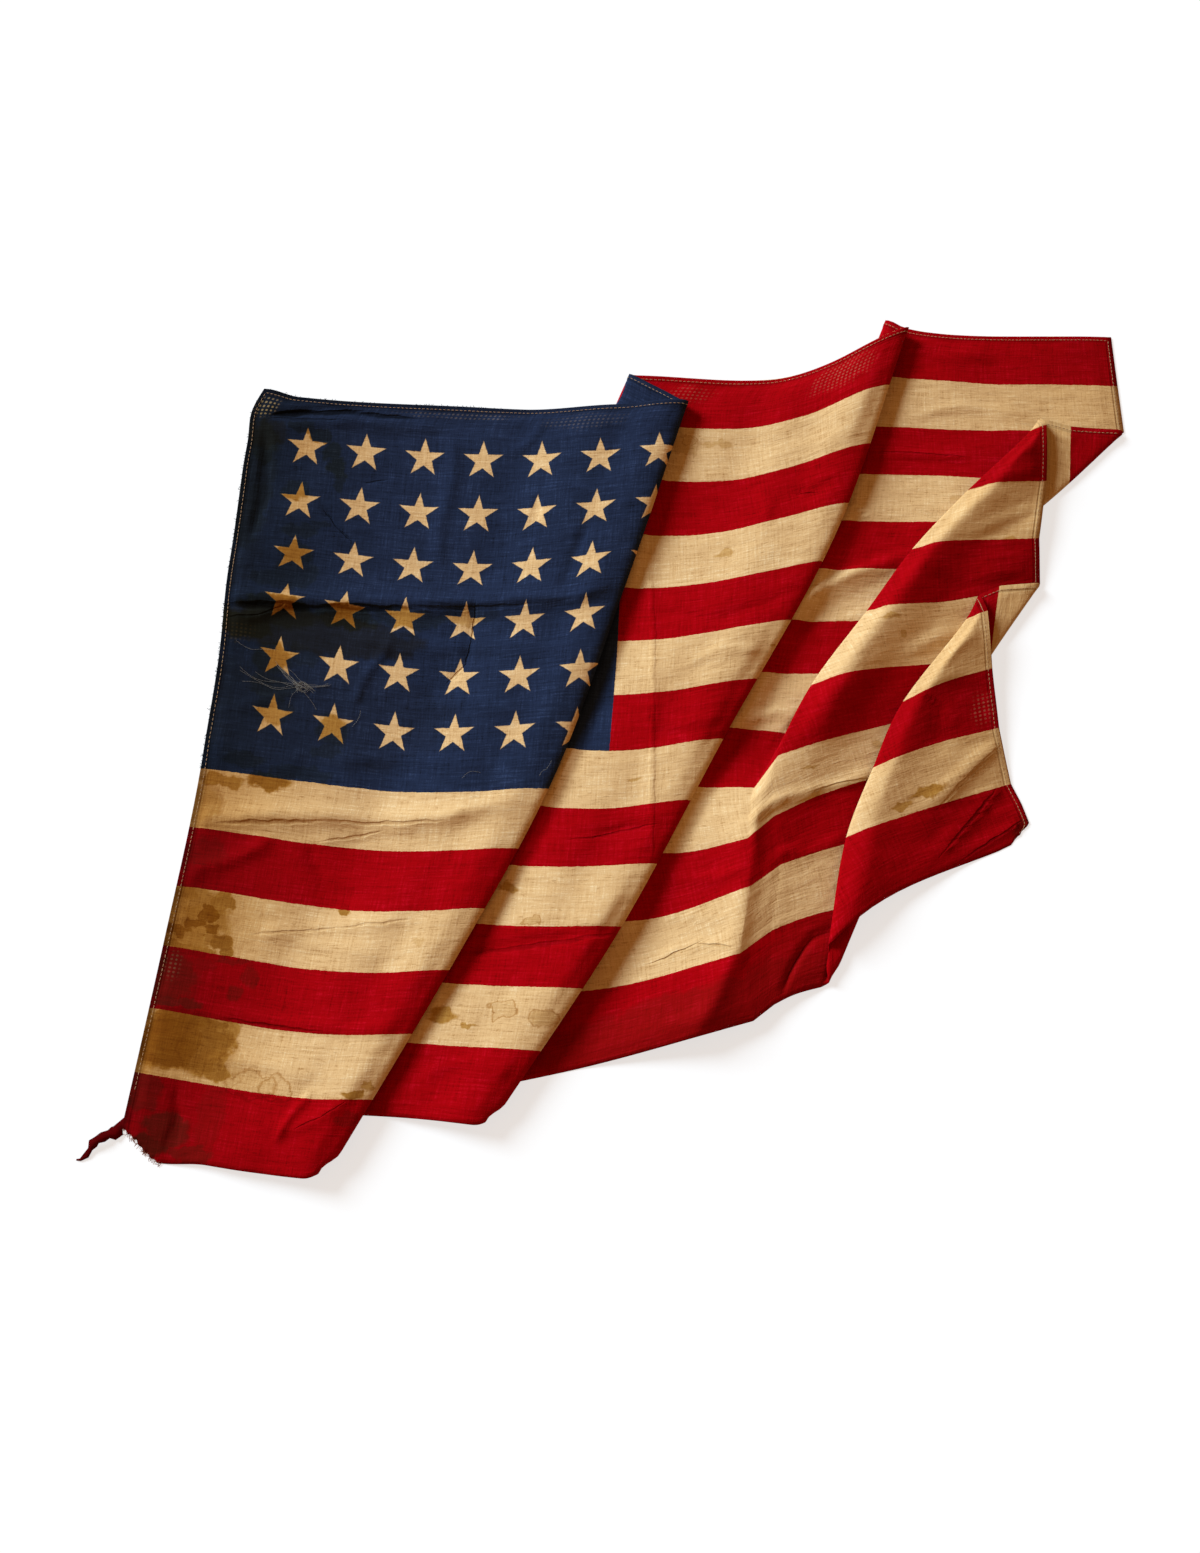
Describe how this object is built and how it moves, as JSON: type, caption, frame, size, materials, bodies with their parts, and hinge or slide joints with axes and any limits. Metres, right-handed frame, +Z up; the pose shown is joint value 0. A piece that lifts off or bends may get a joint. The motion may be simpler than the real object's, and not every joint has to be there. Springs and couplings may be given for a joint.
{
  "type": "folded tattered flag",
  "caption": "Old printed cotton flag with stars and stripes, folded back and forth, creased, stained and torn at one corner.",
  "frame": {"origin": "middle of the folded cloth's outline, on the surface it lies on", "axes": "+X from the hoist towards the fly, +Y towards the flag's top edge, +Z up"},
  "size_m": [0.8032, 0.6785, 0.0142],
  "materials": {
    "cloth": "matt printed cotton, worn, stained and creased"
  },
  "bodies": {
    "root": {"flag": "cloth"}
  },
  "joints": []
}
